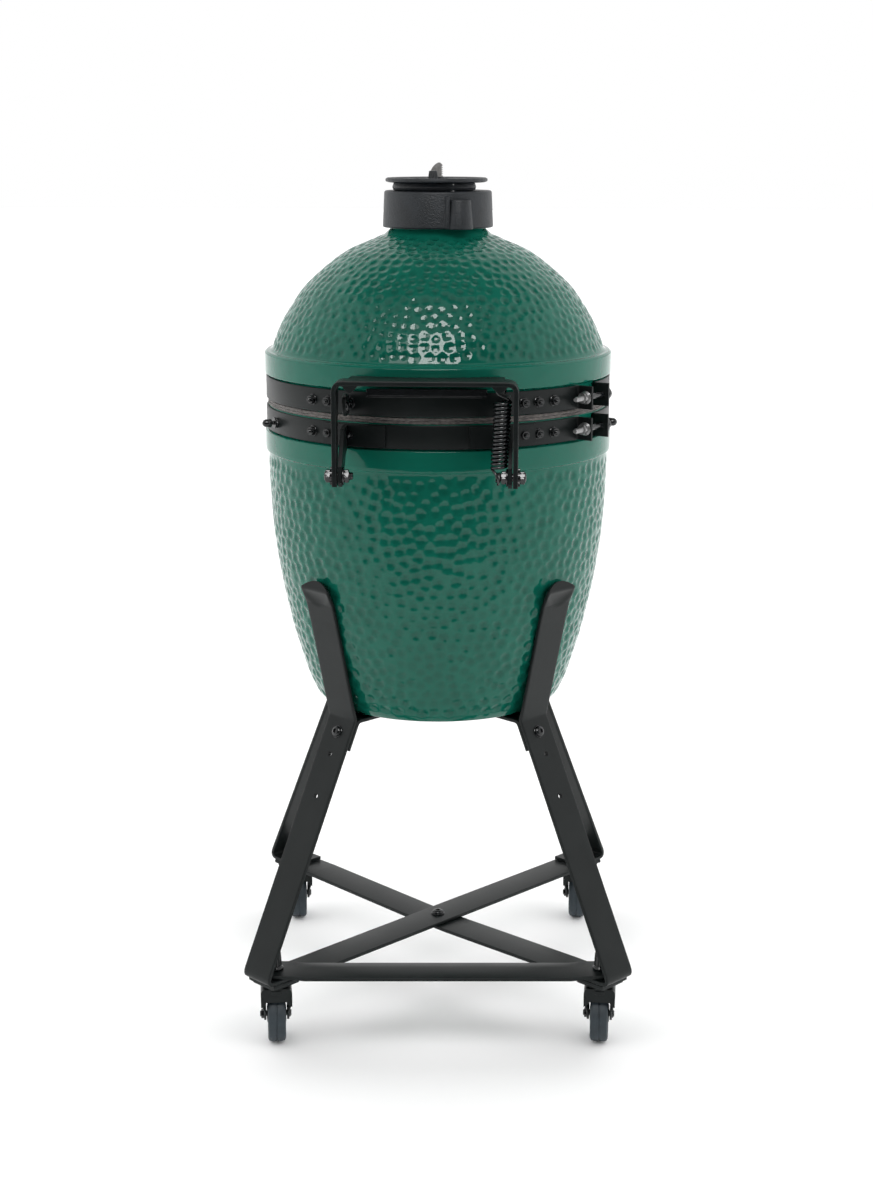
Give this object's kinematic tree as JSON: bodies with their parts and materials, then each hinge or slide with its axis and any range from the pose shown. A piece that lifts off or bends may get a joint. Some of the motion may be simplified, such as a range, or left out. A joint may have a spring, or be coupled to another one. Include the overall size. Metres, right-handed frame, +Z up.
{
  "type": "kamado ceramic grill",
  "caption": "Egg-shaped ceramic charcoal grill with a hinged dome, vent cap and draft door, carried by a bent-strap nest on swivel casters.",
  "frame": {"origin": "on the floor under the middle of the grill", "axes": "+Z up, -Y to the front (handle and draft door), +Y to the hinge, X along the hinge axis"},
  "size_m": [0.5464, 0.578, 1.1639],
  "materials": {
    "glaze": "glossy dimpled glaze",
    "felt": "dense felt",
    "fireclay": "unglazed fireclay",
    "cast_iron": "matt coated casting",
    "stainless": "brushed",
    "black_steel": "satin black powder coat",
    "bolt_steel": "zinc plated",
    "rubber": "dark blue-grey tread rubber",
    "timber": "oiled hardwood",
    "dial": "printed white dial",
    "needle": "red enamel",
    "lens": "clear flat glass"
  },
  "bodies": {
    "nest": {"base_shell": "glaze", "base_gasket": "felt", "fire_box": "fireclay", "fire_ring": "fireclay", "charcoal_grate": "cast_iron", "cooking_grid": "stainless", "lower_band": "black_steel", "lower_band_bolt": "bolt_steel", "hinge_bracket_left": "black_steel", "hinge_bracket_right": "black_steel", "hinge_pivot_bolt_left": "black_steel", "hinge_pivot_bolt_right": "black_steel", "side_stud_left": "black_steel", "side_stud_right": "black_steel", "draft_frame": "stainless", "upper_cross_strap_a": "black_steel", "upper_cross_strap_b": "black_steel", "lower_cross_bar_a": "black_steel", "lower_cross_bar_b": "black_steel", "rear_side_bar": "black_steel", "nest_centre_bolt": "black_steel", "leg_rear_left": "black_steel", "leg_rear_right": "black_steel", "leg_front_right": "black_steel", "leg_front_left": "black_steel", "caster_stem_rear_left": "black_steel", "caster_stem_rear_right": "black_steel", "caster_stem_front_right": "black_steel", "caster_stem_front_left": "black_steel"},
    "dome": {"dome_shell": "glaze", "dome_gasket": "felt", "upper_band": "black_steel", "upper_band_bolt": "bolt_steel", "hinge_bail": "black_steel", "hinge_spring": "black_steel", "cap_collar": "cast_iron", "cap_gasket": "felt", "cap_pivot_pin": "bolt_steel", "handle_bracket_left": "black_steel", "handle_bracket_right": "black_steel", "handle_grip": "timber", "thermometer_case": "stainless", "thermometer_dial": "dial", "thermometer_glass": "lens"},
    "cap_top": {"cap_swing_disc": "cast_iron", "cap_tab": "bolt_steel"},
    "daisy_wheel": {"daisy_wheel": "cast_iron"},
    "thermometer_needle": {"thermometer_needle": "needle"},
    "draft_door": {"draft_door": "stainless"},
    "draft_screen": {"draft_screen": "stainless"},
    "caster_fork_rear_left": {"caster_fork_rear_left": "black_steel"},
    "caster_wheel_rear_left": {"caster_wheel_rear_left": "rubber"},
    "caster_fork_rear_right": {"caster_fork_rear_right": "black_steel"},
    "caster_wheel_rear_right": {"caster_wheel_rear_right": "rubber"},
    "caster_fork_front_right": {"caster_fork_front_right": "black_steel"},
    "caster_wheel_front_right": {"caster_wheel_front_right": "rubber"},
    "brake_pedal_front_right": {"brake_pedal_front_right": "black_steel"},
    "caster_fork_front_left": {"caster_fork_front_left": "black_steel"},
    "caster_wheel_front_left": {"caster_wheel_front_left": "rubber"},
    "brake_pedal_front_left": {"brake_pedal_front_left": "black_steel"}
  },
  "joints": [
    {"name": "dome_hinge", "type": "hinge", "parent": "nest", "child": "dome", "pos_m": [0, 0.272, 0.787], "axis": [-1, 0, 0], "range_deg": [0, 65]},
    {"name": "cap_swing", "type": "hinge", "parent": "dome", "child": "cap_top", "pos_m": [-0.0215, 0.045, 1.13], "axis": [0, 0, 1], "range_deg": [0, 100]},
    {"name": "daisy_turn", "type": "hinge", "parent": "cap_top", "child": "daisy_wheel", "pos_m": [0.002, 0, 1.14], "axis": [0, 0, 1], "range_deg": [-36, 0]},
    {"name": "needle_turn", "type": "hinge", "parent": "dome", "child": "thermometer_needle", "pos_m": [0, -0.178, 1.0025], "axis": [0, -0.749, 0.6626], "range_deg": [-270, 0]},
    {"name": "draft_door_slide", "type": "hinge", "parent": "nest", "child": "draft_door", "pos_m": [0, 0, 0.481], "axis": [0, 0, 1], "range_deg": [-20.8, 20.8]},
    {"name": "draft_screen_slide", "type": "hinge", "parent": "nest", "child": "draft_screen", "pos_m": [0, 0, 0.481], "axis": [0, 0, 1], "range_deg": [-20.8, 20.8]},
    {"name": "caster_swivel_rear_left", "type": "hinge", "parent": "nest", "child": "caster_fork_rear_left", "pos_m": [0.20469, 0.23055, 0.08], "axis": [0, 0, 1], "continuous": true},
    {"name": "wheel_spin_rear_left", "type": "hinge", "parent": "caster_fork_rear_left", "child": "caster_wheel_rear_left", "pos_m": [0.20688, 0.21672, 0.0375], "axis": [-0.9877, -0.1564, 0], "continuous": true},
    {"name": "caster_swivel_rear_right", "type": "hinge", "parent": "nest", "child": "caster_fork_rear_right", "pos_m": [-0.23055, 0.20469, 0.08], "axis": [0, 0, 1], "continuous": true},
    {"name": "wheel_spin_rear_right", "type": "hinge", "parent": "caster_fork_rear_right", "child": "caster_wheel_rear_right", "pos_m": [-0.23128, 0.19071, 0.0375], "axis": [-0.9986, 0.0523, 0], "continuous": true},
    {"name": "caster_swivel_front_right", "type": "hinge", "parent": "nest", "child": "caster_fork_front_right", "pos_m": [-0.20469, -0.23055, 0.08], "axis": [0, 0, 1], "continuous": true},
    {"name": "wheel_spin_front_right", "type": "hinge", "parent": "caster_fork_front_right", "child": "caster_wheel_front_right", "pos_m": [-0.20542, -0.24453, 0.0375], "axis": [-0.9986, 0.0523, 0], "continuous": true},
    {"name": "brake_front_right", "type": "hinge", "parent": "caster_fork_front_right", "child": "brake_pedal_front_right", "pos_m": [-0.20521, -0.24053, 0.0795], "axis": [0.9986, -0.0523, 0], "range_deg": [0, 14]},
    {"name": "caster_swivel_front_left", "type": "hinge", "parent": "nest", "child": "caster_fork_front_left", "pos_m": [0.23055, -0.20469, 0.08], "axis": [0, 0, 1], "continuous": true},
    {"name": "wheel_spin_front_left", "type": "hinge", "parent": "caster_fork_front_left", "child": "caster_wheel_front_left", "pos_m": [0.23274, -0.21852, 0.0375], "axis": [-0.9877, -0.1564, 0], "continuous": true},
    {"name": "brake_front_left", "type": "hinge", "parent": "caster_fork_front_left", "child": "brake_pedal_front_left", "pos_m": [0.23211, -0.21457, 0.0795], "axis": [0.9877, 0.1564, 0], "range_deg": [0, 14]}
  ]
}
